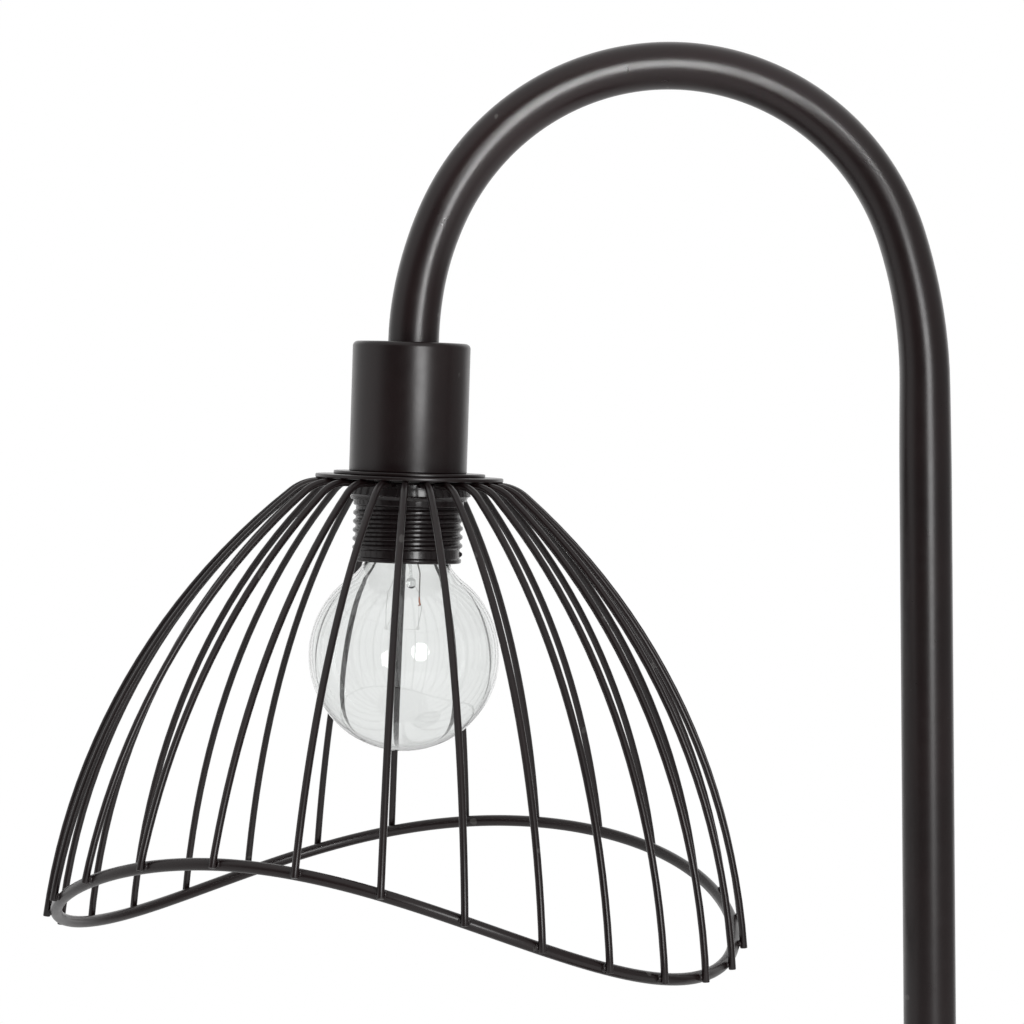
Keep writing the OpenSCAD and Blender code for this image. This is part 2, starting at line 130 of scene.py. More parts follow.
class LampShade(bpy.types.PropertyGroup):
    """Sizes of the wire shade"""

    plate_d: length("Plate diameter", 0.0444, "Diameter of the top plate")
    plate_t: length("Plate thickness", 0.001, "Thickness of the top plate")
    plate_slack: length("Plate slack", 0.00004, "Gap between the plate and the cup's flange")
    hole_r: length("Hole radius", 0.01325, "Radius of the plate's hole")
    ribs: count("Ribs", 28, "Number of ribs")
    rib_d: length("Rib wire", 0.0017, "Diameter of the rib wire")
    rim_d: length("Rim wire", 0.0028, "Diameter of the rim wire")
    start_r: length("Rib start", 0.0165, "Radius where a rib begins under the plate")
    run_r: length("Rib run", 0.021, "Radius where a rib begins to bend down")
    shoulder_r: length("Shoulder radius", 0.0104, "Radius of a rib's tight bend")
    shoulder_turn: angle("Shoulder turn", 40, "Angle of a rib's tight bend")
    dome_r: length("Dome radius", 0.156, "Radius of a rib's long curve")
    rim_drop: length("Rim drop", 0.0990, "Mean depth of the rim below the cup")
    wave_h: length("Wave", 0.0124, "Height of the rim's wave above and below its mean")
    wave_dir: angle("Wave direction", 75, "Direction of the wave's high side")
    rim_tilt: length("Rim tilt", 0.0010, "How much lower the rim hangs on its low side")
    tilt_dir: angle("Tilt direction", 115, "Direction of the rim's low side")
    rim_warp: length("Rim warp", 0.0008, "Height of three smaller waves in the rim")
    warp_dir: angle("Warp direction", 13, "Direction of the high side of one of them")
    rim_ripple: length("Rim ripple", 0.0006, "Height of four smaller waves in the rim")
    ripple_dir: angle("Ripple direction", 24, "Direction of the high side of one of them")
    rib_dir: angle("Rib direction", 203.4, "Direction of the first gap between ribs")
    rib_drift: angle("Rib drift", 4.8, "How far the ribs drift once round the shade")
    drift_dir: angle("Drift direction", -3, "Where that drift starts")
    rib_sway: angle("Rib sway", 2.6, "How far the ribs drift twice round the shade")
    sway_dir: angle("Sway direction", 48, "Where that drift starts")
    rib_jog: angle("Rib jog", 0.8, "How far the ribs drift three times round the shade")
    jog_dir: angle("Jog direction", 21, "Where that drift starts")


class LampBulb(bpy.types.PropertyGroup):
    """Sizes of the globe bulb"""

    globe_d: length("Globe diameter", 0.045, "Diameter of the globe")
    globe_drop: length("Globe drop", 0.0434, "Depth of the globe's middle below the cup")
    neck_r: length("Neck radius", 0.008, "Radius of the neck in the cap")
    neck_curve_r: length("Neck curve", 0.014, "Radius of the hollow between globe and neck")
    glass_t: length("Glass", 0.0007, "Wall of the glass")
    button_drop: length("Button drop", 0.0264, "Depth of the glass button below the cup")
    button_r: length("Button radius", 0.0011, "Radius of the glass button")
    stem_r: length("Glass rod", 0.0004, "Radius of the glass rod above the button")
    lead_x: length("Lead", 0.0026, "Distance of a lead wire from the axis")
    lead_drop: length("Lead drop", 0.0312, "Depth of a lead wire's tip below the cup")
    wire_r: length("Wire radius", 0.00016, "Radius of a lead wire")
    lean: number("Lean", 0.085, "How far the glass mount leans over, per length")
    cap_pitch: length("Cap pitch", 0.00282, "Pitch of the cap's thread")


class LampFinish(bpy.types.PropertyGroup):
    """Colours and gloss of what shows most"""

    coat: colour("Coat", (0.0085, 0.0036, 0.0038), "Powder coat of tube, cup and shade")
    coat_rough: factor("Coat roughness", 0.30, "Roughness of the powder coat")
    plastic: colour("Plastic", (0.009, 0.0055, 0.0058), "Moulded plastic of holder and ring")
    plastic_rough: factor("Plastic roughness", 0.17, "Roughness of the plastic")
    glass: colour("Glass", (0.904, 0.914, 0.908), "Clear glass of the bulb")


class LampStage(bpy.types.PropertyGroup):
    """Camera, light and background"""

    camera: place("Camera", (0.09079, -0.88546, 0.38755), "Where the camera stands")
    yaw: angle("Yaw", -11.98, "Turn of the camera from +Y towards +X")
    pitch: angle("Pitch", -1.04, "Tilt of the camera above the horizon")
    roll: angle("Roll", -0.55, "Turn of the camera about its own axis")
    lens: number("Lens", 135.59, "Focal length in millimetres on a sensor 36 mm wide")
    key: place("Key light", (0.546, -1.013, 0.492), "Middle of the round key light")
    key_d: length("Key diameter", 0.466, "Diameter of the round key light")
    key_glow: number("Key glow", 9.5, "Brightness of the key light's face, where 1 is white")
    bow_count: count("Bow lights", 15, "Number of small lights that follow the arch")
    bow_first: angle("Bow start", 28, "Turn of the arch at the first of them")
    bow_last: angle("Bow end", 168, "Turn of the arch at the last of them")
    bow_side: angle("Bow side", 28, "How far their line on the tube leaves its front")
    bow_far: length("Bow distance", 0.9, "Distance of each light from the tube")
    bow_r: length("Bow light radius", 0.03, "Radius of each light")
    bow_reach: length("Bow reach", 0.025, "Half the width that each one lights")
    bow_glow: number("Bow glow", 460.0, "Brightness of the brightest one's face, where 1 is white")
    bow_dimmest: angle("Bow dimmest", 25, "Turn of the arch where they are dimmest")
    bow_least: factor("Bow least", 0.38, "Brightness of the dimmest against the brightest")
    floor_r: length("Floor radius", 1.5, "Radius of the floor")
    surround: number("Surround", 1.05, "Brightness of the white room behind the lamp")
    near_part: factor("Near part", 0.68, "Share of it in the room's near half")
    dark_part: factor("Dark part", 0.10, "Share of it in the dark part behind the camera")
    dark_dir: place("Dark direction", (-0.22, -0.975, 0.0), "Direction of the dark part")
    dim_part: factor("Dim part", 0.36, "Share of it on the dimmer side")
    dim_dir: place("Dim direction", (0.99, 0.12, 0.0), "Direction of the dimmer side")
    low_part: factor("Low part", 0.4, "How much of each is left well below the lamp")


GROUPS = {
    "lamp_stand": LampStand,
    "lamp_holder": LampHolder,
    "lamp_shade": LampShade,
    "lamp_bulb": LampBulb,
    "lamp_finish": LampFinish,
    "lamp_stage": LampStage,
}


# Shader maths

class Value:
    """A number that varies over a surface, with Python's operators"""

    def __init__(self, graph, socket):
        self.graph = graph
        self.socket = socket

    def math(self, operation, first, second):
        inputs = {0: first, 1: second}
        return Value(self.graph, self.graph.add("ShaderNodeMath", {"operation": operation}, inputs))

    def __add__(self, other):
        return self.math("ADD", self, other)

    def __sub__(self, other):
        return self.math("SUBTRACT", self, other)

    def __rsub__(self, other):
        return self.math("SUBTRACT", other, self)

    def __mul__(self, other):
        return self.math("MULTIPLY", self, other)

    def max(self, other):
        return self.math("MAXIMUM", self, other)

    __radd__ = __add__
    __rmul__ = __mul__

    def step(self, low, high):
        """0 below low, 1 above high and a smooth way between."""
        settings = {"interpolation_type": "SMOOTHSTEP"}
        inputs = {"Value": self, "From Min": low, "From Max": high}
        return Value(self.graph, self.graph.add("ShaderNodeMapRange", settings, inputs))


class Graph:
    """The node tree of a material or of the world"""

    def __init__(self, owner):
        owner.use_nodes = True
        self.tree = owner.node_tree
        self.tree.nodes.clear()

    def add(self, kind, settings=None, inputs=None, output=0):
        """Adds a node with its settings, then its inputs, and gives one of its outputs, if any."""
        node = self.tree.nodes.new(kind)
        for name, setting in (settings or {}).items():
            setattr(node, name, setting)
        for name, value in (inputs or {}).items():
            if isinstance(value, Value):
                value = value.socket
            if isinstance(value, bpy.types.NodeSocket):
                self.tree.links.new(value, node.inputs[name])
            elif isinstance(value, (tuple, list)) and len(node.inputs[name].default_value) == 4:
                node.inputs[name].default_value = (*value[:3], 1)
            else:
                node.inputs[name].default_value = value
        return node.outputs[output] if node.outputs else None

    def coords(self, output="Object"):
        """Coordinates in metres, fixed to the piece."""
        return self.add("ShaderNodeTexCoord", output=output)

    def noise(self, scale, detail=2.0, rough=0.5, stretch=(1, 1, 1)):
        """Noise from 0 to 1 with features about 1 / scale metres across."""
        where = self.add("ShaderNodeMapping", None, {"Vector": self.coords(), "Scale": stretch})
        inputs = {"Vector": where, "Scale": scale, "Detail": detail, "Roughness": rough}
        return Value(self, self.add("ShaderNodeTexNoise", None, inputs))

    def mix(self, amount, first, second):
        """A colour between two colours."""
        settings = {"data_type": "RGBA"}
        inputs = {0: amount, 6: first, 7: second}
        return self.add("ShaderNodeMix", settings, inputs, 2)

    def bump(self, height, distance, strength=1.0):
        """A normal from a height between 0 and 1, with its full height in metres."""
        inputs = {"Height": height, "Distance": distance, "Strength": strength}
        return self.add("ShaderNodeBump", None, inputs)

    def surface(self, **sockets):
        """A principled surface. An underscore in a name stands for a space."""
        inputs = {name.replace("_", " "): value for name, value in sockets.items()}
        shader = self.add("ShaderNodeBsdfPrincipled", None, inputs)
        self.add("ShaderNodeOutputMaterial", None, {"Surface": shader})


def darker(tone, share):
    """A tone times a share."""
    return tuple(part * share for part in tone)


# Materials

def powder_coat(material, finish):
    """Satin black powder coat: fine orange peel, faint mottling and a few specks of dust."""
    g = Graph(material)
    broad = g.noise(38, 2)
    dapple = g.noise(280, 2)
    peel = g.noise(620, 2.5, 0.55)
    grain = g.noise(2600, 1.5)
    tone = tuple(finish.coat)
    speck = g.noise(310, 0.0).step(0.83, 0.86)
    body = g.mix(broad.step(0.3, 0.7), darker(tone, 0.85), darker(tone, 1.2))
    g.surface(Base_Color=g.mix(speck * 0.5, body, (0.10, 0.095, 0.09)),
              Roughness=finish.coat_rough - 0.08 + broad * 0.04 + dapple * 0.1 + grain * 0.02,
              Normal=g.bump(peel * 0.75 + grain * 0.25, 0.000014),
              IOR=1.5)


def moulded_plastic(material, finish):
    """Moulded black plastic: smooth, a little glossier, with faint flow marks."""
    g = Graph(material)
    flow = g.noise(90, 3, 0.6, (1, 1, 3))
    grain = g.noise(1900, 2)
    tone = tuple(finish.plastic)
    g.surface(Base_Color=g.mix(flow, darker(tone, 0.8), darker(tone, 1.25)),
              Roughness=finish.plastic_rough - 0.02 + flow * 0.06,
              Normal=g.bump(grain * 0.6 + flow * 0.4, 0.00001),
              IOR=1.5)


def clear_glass(material, finish):
    """Clear blown glass, slightly uneven in its tint."""
    g = Graph(material)
    tint = tuple(finish.glass)
    g.surface(Base_Color=g.mix(g.noise(40, 1), darker(tint, 0.995), tint),
              Roughness=0.0,
              IOR=1.5,
              Transmission_Weight=1.0)


def plain_finish(first, second, rough, metal=0.0, scale=300, height=0.00002, stretch=(1, 1, 1)):
    """A maker of finishes: two tones mixed by a grain, which also sets roughness and bump."""

    def make(material, finish):
        g = Graph(material)
        grain = g.noise(scale, 3, 0.6, stretch)
        broad = g.noise(scale / 9, 2)
        g.surface(Base_Color=g.mix(grain * 0.6 + broad * 0.4, first, second),
                  Metallic=metal,
                  Roughness=rough - 0.05 + broad * 0.1,
                  Normal=g.bump(grain, height))

    return make


FINISHES = {
    "black_coat": powder_coat,
    "holder_black": moulded_plastic,
    "clear_glass": clear_glass,
    "washer_grey": plain_finish((0.03, 0.03, 0.03), (0.06, 0.055, 0.05), 0.7),
    "cast_weight": plain_finish((0.05, 0.05, 0.055), (0.14, 0.135, 0.13), 0.65, 0.6, 240, 0.0002),
    "pad_rubber": plain_finish((0.012, 0.012, 0.012), (0.03, 0.03, 0.03), 0.9, 0.0, 900, 0.00015),
    "zinc_steel": plain_finish((0.5, 0.5, 0.49), (0.68, 0.67, 0.63), 0.32, 1.0, 500),
    "yellow_brass": plain_finish((0.62, 0.43, 0.17), (0.78, 0.6, 0.3), 0.3, 1.0, 400),
    "block_white": plain_finish((0.8, 0.8, 0.77), (0.88, 0.88, 0.85), 0.45),
    "insert_ceramic": plain_finish((0.72, 0.69, 0.63), (0.85, 0.83, 0.78), 0.6, 0.0, 1200, 0.00003),
    "lead_brown": plain_finish((0.12, 0.045, 0.02), (0.18, 0.07, 0.035), 0.4),
    "lead_blue": plain_finish((0.02, 0.08, 0.34), (0.04, 0.13, 0.45), 0.4),
    "cap_metal": plain_finish((0.58, 0.56, 0.52), (0.76, 0.74, 0.69), 0.24, 1.0, 700, 0.00001,
                              (1, 1, 8)),
    "solder": plain_finish((0.42, 0.42, 0.42), (0.62, 0.62, 0.61), 0.4, 1.0, 900, 0.00008),
    "insulator_black": plain_finish((0.004, 0.004, 0.005), (0.01, 0.01, 0.012), 0.15),
    "bulb_wire": plain_finish((0.10, 0.095, 0.09), (0.22, 0.21, 0.2), 0.35, 0.9, 2000, 0.00001),
    "copper_tip": plain_finish((0.30, 0.10, 0.06), (0.45, 0.18, 0.1), 0.4, 0.8, 2000, 0.00001),
}


def material_of(name):
    """The material of that name, made on first use."""
    material = bpy.data.materials.get("lamp_" + name)
    if material is None:
        material = bpy.data.materials.new("lamp_" + name)
        FINISHES[name](material, bpy.context.scene.lamp_finish)
    return material


# Modelling

def shade_smooth(bm, sharp=radians(38)):
    """Smooth faces, with sharp edges where the surface turns by more than that angle."""
    for face in bm.faces:
        face.smooth = True
    for edge in bm.edges:
        edge.smooth = len(edge.link_faces) == 2 and edge.calc_face_angle(0) < sharp


def put(name, data):
    """Adds an object to the scene. A bmesh becomes its mesh."""
    if isinstance(data, bmesh.types.BMesh):
        mesh = bpy.data.meshes.new(name)
        data.to_mesh(mesh)
        data.free()
        data = mesh
    thing = bpy.data.objects.new(name, data)
    bpy.context.scene.collection.objects.link(thing)
    return thing


def finish_piece(bm, name, body, finish, nodes=(), at=None):
    """Makes a finished piece of a bmesh, puts it in place and lets it ride on its body."""
    if at is not None:
        bmesh.ops.transform(bm, matrix=at, verts=bm.verts)
    shade_smooth(bm)
    piece = put(name, bm)
    piece.data.materials.append(material_of(finish))
    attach(piece, body)
    if nodes:
        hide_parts(*nodes)


def rounded(corners, steps=5):
    """Points of an outline in (r, z). A corner with a third number is rounded to that radius."""
    points = []
    for i, corner in enumerate(corners):
        here = Vector(corner[:2])
        if len(corner) == 2:
            points.append(here)
            continue
        before = (Vector(corners[i - 1][:2]) - here).normalized()
        after = (Vector(corners[(i + 1) % len(corners)][:2]) - here).normalized()
        half = before.angle(after) / 2
        middle = here + (before + after).normalized() * corner[2] / sin(half)
        first = (here + before * corner[2] / tan(half) - middle).normalized()
        last = (here + after * corner[2] / tan(half) - middle).normalized()
        points += [middle + corner[2] * first.slerp(last, k / steps) for k in range(steps + 1)]
    return points


def arc_points(middle, radius, first, last, steps):
    """Points of an arc in (r, z), with its angles counted from the axis."""
    turns = [first + (last - first) * k / steps for k in range(steps + 1)]
    return [Vector(middle) + radius * Vector((sin(t), cos(t))) for t in turns]


def turned(outline, steps=96, closed=True):
    """A bmesh turned about Z from an outline in (r, z). An open one begins and ends on the axis."""
    bm = bmesh.new()
    verts = [bm.verts.new((p[0], 0, p[1])) for p in outline]
    pairs = list(zip(verts, verts[1:]))
    if closed:
        pairs.append((verts[-1], verts[0]))
    edges = [bm.edges.new(pair) for pair in pairs]
    bmesh.ops.spin(bm, geom=verts + edges, cent=(0, 0, 0), axis=(0, 0, 1), angle=2 * pi,
                   steps=steps, use_merge=True)
    bmesh.ops.remove_doubles(bm, verts=bm.verts, dist=1e-7)
    bmesh.ops.recalc_face_normals(bm, faces=bm.faces)
    return bm


def helical_ridge(bm, section, radius, top, pitch, turns, steps=64):
    """A screw thread's ridge: a section in (r, z) wound downwards from a height."""
    verts = [bm.verts.new((radius + p[0], 0, top + p[1])) for p in section]
    edges = [bm.edges.new(pair) for pair in zip(verts, verts[1:] + verts[:1])]
    whole = round(steps * turns)
    made = bmesh.ops.spin(bm, geom=verts + edges, cent=(0, 0, 0), axis=(0, 0, 1),
                          dvec=(0, 0, -pitch / steps), angle=-2 * pi * turns, steps=whole)
    last = [part for part in made["geom_last"] if isinstance(part, bmesh.types.BMEdge)]
    caps = bmesh.ops.contextual_create(bm, geom=edges)["faces"]
    caps += bmesh.ops.contextual_create(bm, geom=last)["faces"]
    bmesh.ops.triangulate(bm, faces=caps)
    bmesh.ops.recalc_face_normals(bm, faces=bm.faces)


def across(heading):
    """The way to the right of a heading in the XZ plane."""
    return Vector((cos(heading), 0, -sin(heading)))


def ahead(heading):
    """The way straight on at a heading in the XZ plane, counted from up."""
    return Vector((sin(heading), 0, cos(heading)))


def bent_way(at, heading, parts):
    """Places along a bent bar in the XZ plane: distance, point and heading.

    A part is a radius, an angle to the right and a count of steps, or 0, a length and a count."""
    places = [(0, Vector(at), heading)]
    for radius, amount, steps in parts:
        gone, at, heading = places[-1]
        side = radius if amount > 0 else -radius
        for k in range(1, steps + 1):
            part = amount * k / steps
            if radius:
                there = at + side * (across(heading) - across(heading + part))
                places.append((gone + side * part, there, heading + part))
            else:
                places.append((gone + part, at + part * ahead(heading), heading))
    return places


def upright(at, heading):
    """The matrix at a place on the way, with its Z straight on."""
    return Matrix.Translation(at) @ Matrix.Rotation(heading, 4, "Y")


def sweep(bm, frames, radius, sides, closed=False, hollow=False):
    """A round wire through a list of matrices, whose Z points along it. Gives its end rings."""
    made = bmesh.ops.create_circle(bm, segments=sides, radius=radius, matrix=frames[0])
    first = ring = list({edge for vert in made["verts"] for edge in vert.link_edges})
    for before, after in zip(frames, frames[1:]):
        geom = bmesh.ops.extrude_edge_only(bm, edges=ring)["geom"]
        fresh = {part for part in geom if isinstance(part, bmesh.types.BMVert)}
        bmesh.ops.transform(bm, matrix=after @ before.inverted(), verts=list(fresh))
        ring = [part for part in geom if isinstance(part, bmesh.types.BMEdge)
                and part.verts[0] in fresh and part.verts[1] in fresh]
    if closed:
        bmesh.ops.bridge_loops(bm, edges=first + ring)
    elif not hollow:
        bmesh.ops.contextual_create(bm, geom=first)
        bmesh.ops.contextual_create(bm, geom=ring)
    bmesh.ops.recalc_face_normals(bm, faces=bm.faces)
    return first, ring


def frames_along(points, closed=False):
    """Matrices at points, each with its Z along the way, turned as little as can be."""
    frames = []
    side = None
    last = len(points) - 1
    for i, point in enumerate(points):
        before = points[i - 1] if closed or i > 0 else point
        after = points[(i + 1) % len(points)] if closed or i < last else point
        along = (after - before).normalized()
        if side is None:
            side = along.orthogonal() if not closed else along.cross(Vector((0, 0, 1)))
        side = (side - side.dot(along) * along).normalized()
        turn = Matrix((side, along.cross(side), along)).transposed().to_4x4()
        frames.append(Matrix.Translation(point) @ turn)
    return frames


def ease(value, low, high):
    """0 below low, 1 above high and a smooth way between."""
    share = min(max((value - low) / (high - low), 0), 1)
    return share * share * (3 - 2 * share)


def arch_bends(stand):
    """Radius and angle of the three bends of the arch."""
    arch_turn = stand.bend_turn - stand.entry_turn - stand.exit_turn
    return [(stand.entry_r, stand.entry_turn), (stand.arch_r, arch_turn),
            (stand.exit_r, stand.exit_turn)]


def arch_place(stand, rest):
    """The point where the tube has turned by that much, and the way out of the arch there."""
    parts = []
    for radius, turn in arch_bends(stand):
        parts.append((radius, -min(turn, rest), 1))
        rest -= min(turn, rest)
    _, at, heading = bent_way((0, 0, stand.stem_h), 0, parts)[-1]
    return at, across(heading)


def head_place():
    """The matrix from the head's own frame, with the cup's lower edge at 0, to the lamp's."""
    stand = bpy.context.scene.lamp_stand
    parts = [(radius, -turn, 1) for radius, turn in arch_bends(stand)]
    parts.append((0, stand.leg_h + stand.cup_h, 1))
    _, at, heading = bent_way((0, 0, stand.stem_h), 0, parts)[-1]
    return upright(at, heading + pi)


class ShadeForm:
    """The curves of the shade in the head's frame"""

    def __init__(self, shade, stand):
        self.s = shade
        self.plate_low = -stand.flange_t - shade.plate_t
        self.rib_z = self.plate_low - shade.rib_d / 2
        shoulder = Vector((shade.run_r, self.rib_z - shade.shoulder_r))
        turn = shade.shoulder_turn
        self.dome = shoulder + (shade.shoulder_r - shade.dome_r) * Vector((sin(turn), cos(turn)))

    def dome_turn(self, z):
        """Angle along the long curve, from straight up, at a height."""
        return acos((z - self.dome[1]) / self.s.dome_r)

    def rim_z(self, t):
        """Height of the rim's middle in a direction."""
        s = self.s
        return (-s.rim_drop + s.wave_h * cos(2 * (t - s.wave_dir))
                - s.rim_tilt * cos(t - s.tilt_dir) + s.rim_warp * cos(3 * (t - s.warp_dir))
                + s.rim_ripple * cos(4 * (t - s.ripple_dir)))

    def rib_dir(self, i):
        """Direction of a rib."""
        s = self.s
        even = 2 * pi * (i + 0.5) / s.ribs
        return (s.rib_dir + even + s.rib_drift * sin(even - s.drift_dir)
                + s.rib_sway * sin(2 * (even - s.sway_dir))
                + s.rib_jog * sin(3 * (even - s.jog_dir)))

    def on_dome(self, t, inwards):
        """A point of the long curve at the rim's height, moved inwards from the ribs' middle."""
        a = self.dome_turn(self.rim_z(t))
        r = self.dome[0] + (self.s.dome_r - inwards) * sin(a)
        z = self.dome[1] + (self.s.dome_r - inwards) * cos(a)
        return Vector((r * cos(t), r * sin(t), z))

    def rim_points(self, steps):
        """Points of the rim, which lies against the inner side of the ribs."""
        inwards = (self.s.rib_d + self.s.rim_d) / 2
        return [self.on_dome(2 * pi * k / steps, inwards) for k in range(steps)]


# Operators

class LAMP_OT_frame(bpy.types.Operator):
    """Gives every carried-over piece its own finish"""

    bl_idname = "lamp.frame"
    bl_label = "Inner pieces"

    def execute(self, context):
        slots = {part["node"]: part["material_slot"] for part in frame["record"]["subparts"]}
        for name, node in frame["nodes"].items():
            node.data.materials.clear()
            node.data.materials.append(material_of(slots[name]))
        return {"FINISHED"}


class LAMP_OT_foot(bpy.types.Operator):
    """Makes the foot's spun cover, its pad and the collar round the stem"""

    bl_idname = "lamp.foot"
    bl_label = "Foot"

    def execute(self, context):
        s = context.scene.lamp_stand
        low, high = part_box("base_cover")
        edge = s.foot_d / 2
        wall = 0.0012
        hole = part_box("stem_nipple")[1].x + 0.00015
        top = high.z
        cover = turned(rounded([(edge, low.z, 0.0004), (edge, top, s.foot_fillet), (hole, top),
                                (hole, top - wall),
                                (edge - wall, top - wall, s.foot_fillet - wall),
                                (edge - wall, low.z, 0.0004)], 8), 256)
        finish_piece(cover, "foot_cover", "stand", "black_coat", ["base_cover"])
        pad_low, pad_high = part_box("base_pad")
        pad = turned(rounded([(0, pad_high.z), (pad_high.x, pad_high.z, 0.0002),
                              (pad_high.x, pad_low.z, 0.0006), (0, pad_low.z)], 4), 192, False)
        finish_piece(pad, "foot_pad", "stand", "pad_rubber", ["base_pad"])
        bore = s.tube_d / 2 + FIT
        collar = turned(rounded([(s.collar_d / 2, top, 0.0002),
                                 (s.collar_d / 2, top + s.collar_h, 0.0015),
                                 (bore, top + s.collar_h, 0.0002), (bore, top)], 6), 128)
        finish_piece(collar, "foot_collar", "stand", "black_coat", ["stem_collar"])
        return {"FINISHED"}


class LAMP_OT_tube(bpy.types.Operator):
    """Bends the stem and arch from one length of tube"""

    bl_idname = "lamp.tube"
    bl_label = "Bent tube"

    def way(self, s):
        """Places along the tube, with their distances from the stem's end."""
        bends = [(radius, -turn, ceil(turn / radians(1.6))) for radius, turn in arch_bends(s)]
        parts = [(0, s.stem_h - s.foot_h - s.ease_in, 1), (0, s.ease_in, 8), *bends,
                 (0, s.leg_h, 1), (0, s.leg_in, 1)]
        return [(gone + s.foot_h - s.stem_h, at, heading)
                for gone, at, heading in bent_way((0, 0, s.foot_h), 0, parts)]

    def section(self, s, gone):
        """The squeeze of the round tube, which is oval in its bends, most so in the first half."""
        whole = sum(radius * turn for radius, turn in arch_bends(s))
        full, less_from, less_to = 0.03, 0.11, 0.17
        less = 0.4
        flat = (s.squeeze * ease(gone, -s.ease_in, full)
                * (1 - less * ease(gone, less_from, less_to))
                * (1 - ease(gone, whole - s.ease_in, whole)))
        return Matrix.Diagonal((1 - flat, 1 + flat / 2, 1, 1))

    def execute(self, context):
        s = context.scene.lamp_stand
        bm = bmesh.new()
        frames = [upright(at, heading) @ self.section(s, gone)
                  for gone, at, heading in self.way(s)]
        ends = [sweep(bm, frames, radius, 64, hollow=True)
                for radius in (s.tube_d / 2, s.tube_d / 2 - s.tube_wall)]
        for outer, inner in zip(*ends):
            bmesh.ops.bridge_loops(bm, edges=outer + inner)
        bmesh.ops.recalc_face_normals(bm, faces=bm.faces)
        finish_piece(bm, "bent_tube", "stand", "black_coat", ["arch_tube"])
        return {"FINISHED"}


class LAMP_OT_cup(bpy.types.Operator):
    """Makes the cup and the flange under it"""

    bl_idname = "lamp.cup"
    bl_label = "Cup"

    def execute(self, context):
        s = context.scene.lamp_stand
        head = head_place()
        edge, wall, top = s.cup_d / 2, s.cup_wall, s.cup_h
        bore = s.tube_d / 2 + FIT
        cup = turned(rounded([(edge, 0, 0.0003), (edge, top, 0.0012), (bore, top, 0.0002),
                              (bore, top - wall), (edge - wall, top - wall, 0.0004),
                              (edge - wall, 0, 0.0002)], 6), 160)
        off = [vert for vert in cup.verts if vert.co.xy.length > bore + 0.0005]
        bmesh.ops.translate(cup, verts=off, vec=(-s.cup_shift, 0, 0))
        finish_piece(cup, "cup_shell", "stand", "black_coat", ["socket_cup"], head)
        hole = context.scene.lamp_shade.hole_r
        flange = turned(rounded([(s.flange_d / 2, -s.flange_t, 0.00025),
                                 (s.flange_d / 2, 0, 0.00025), (hole, 0), (hole, -s.flange_t)],
                                4), 160)
        finish_piece(flange, "cup_foot_flange", "stand", "black_coat", ["cup_flange"], head)
        return {"FINISHED"}


class LAMP_OT_holder(bpy.types.Operator):
    """Makes the holder's threaded skirt and the shade ring on it"""

    bl_idname = "lamp.holder"
    bl_label = "Holder"

    def execute(self, context):
        s = context.scene.lamp_stand
        h = context.scene.lamp_holder
        head = head_place()
        outer = h.thread_d / 2
        core = outer - h.thread_depth
        mouth = -h.mouth_drop
        skirt = turned(rounded([
            (h.inner_r, h.joint_z), (h.inner_r, -0.0005), (outer, -0.0005, 0.0002),
            (outer, -h.band_low, 0.00025), (core, -h.band_low - 0.0003, 0.0001),
            (core, mouth + 0.0012, 0.0002), (outer - 0.0002, mouth + 0.0009, 0.0002),
            (outer - 0.0002, mouth, 0.0004), (h.mouth_r, mouth, 0.0003),
            (h.mouth_r, h.joint_z)]), 160)
        base, crest = 0.00078, 0.00026
        section = rounded([(-0.0002, -base), (0, -base, 0.00012),
                           (h.thread_depth, -crest, 0.00018), (h.thread_depth, crest, 0.00018),
                           (0, base, 0.00012), (-0.0002, base)], 4)
        first = -h.band_low - h.thread_pitch / 2
        turns = (h.mouth_drop - 0.0021 + first) / h.thread_pitch
        helical_ridge(skirt, section, core, first, h.thread_pitch, turns, 96)
        finish_piece(skirt, "threaded_skirt", "stand", "holder_black", ["holder_skirt"], head)
        high = -0.0024
        low = high - h.ring_h
        wide, bore = h.ring_d / 2, outer + FIT
        neck, middle = bore + 0.0006, wide + 0.0005
        taper = arc_points((middle, low), middle - neck, pi * 1.5, pi * 1.93, 10)
        ring = turned([Vector((bore, high)), Vector((bore, low)), *taper]
                      + rounded([(neck, low), (wide, high - 0.0012, 0.0002),
                                 (wide, high, 0.0003), (bore, high)], 4)[1:-1], 160)
        finish_piece(ring, "screwed_ring", "ring", "holder_black", ["shade_ring"], head)
        return {"FINISHED"}


